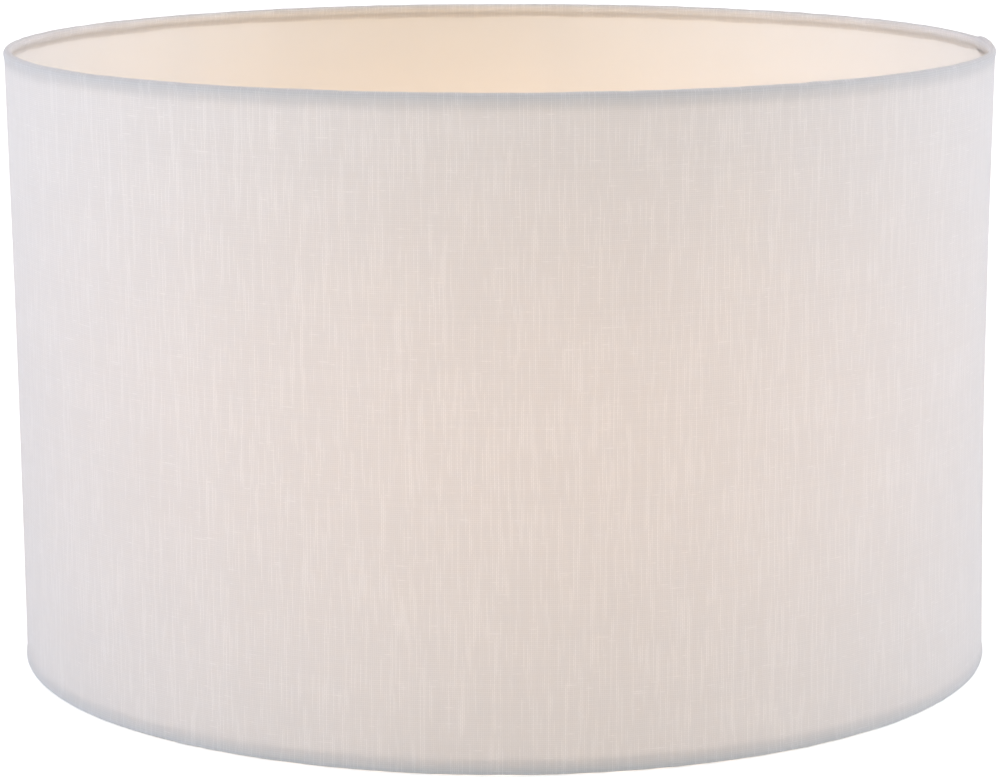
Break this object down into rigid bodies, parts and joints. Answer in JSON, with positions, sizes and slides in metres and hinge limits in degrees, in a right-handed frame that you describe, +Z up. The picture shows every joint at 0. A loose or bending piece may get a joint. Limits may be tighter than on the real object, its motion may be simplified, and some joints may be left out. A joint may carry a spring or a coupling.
{
  "type": "drum lamp shade",
  "caption": "Hard-backed fabric drum shade with rolled wire rims, a raised fitter ring on wire spokes at its lower rim, and a lift-out plastic reducer.",
  "frame": {"origin": "centre of the drum's axis on the surface that the bottom hem stands on", "axes": "+Z up along the drum's axis; the lap seam starts 2 degrees from +X towards +Y"},
  "size_m": [0.4007, 0.4, 0.25],
  "materials": {
    "linen": "plain linen weave, off-white, matt",
    "liner": "smooth translucent PVC film, satin",
    "tape": "thin translucent double-sided tape",
    "frame_wire": "white epoxy coat on steel wire, satin",
    "reducer": "moulded white plastic, satin"
  },
  "bodies": {
    "shade": {"fabric_cover": "linen", "pvc_liner": "liner", "seam_tape": "tape", "top_ring": "frame_wire", "bottom_ring": "frame_wire", "top_ring_tape": "tape", "bottom_ring_tape": "tape", "spoke_1": "frame_wire", "spoke_2": "frame_wire", "spoke_3": "frame_wire", "fitter_ring": "frame_wire"},
    "reducer": {"reducer_ring": "reducer"}
  },
  "joints": [
    {"name": "reducer_lift", "type": "slide", "parent": "shade", "child": "reducer", "axis": [0, 0, 1], "range_m": [0, 0.05]}
  ]
}
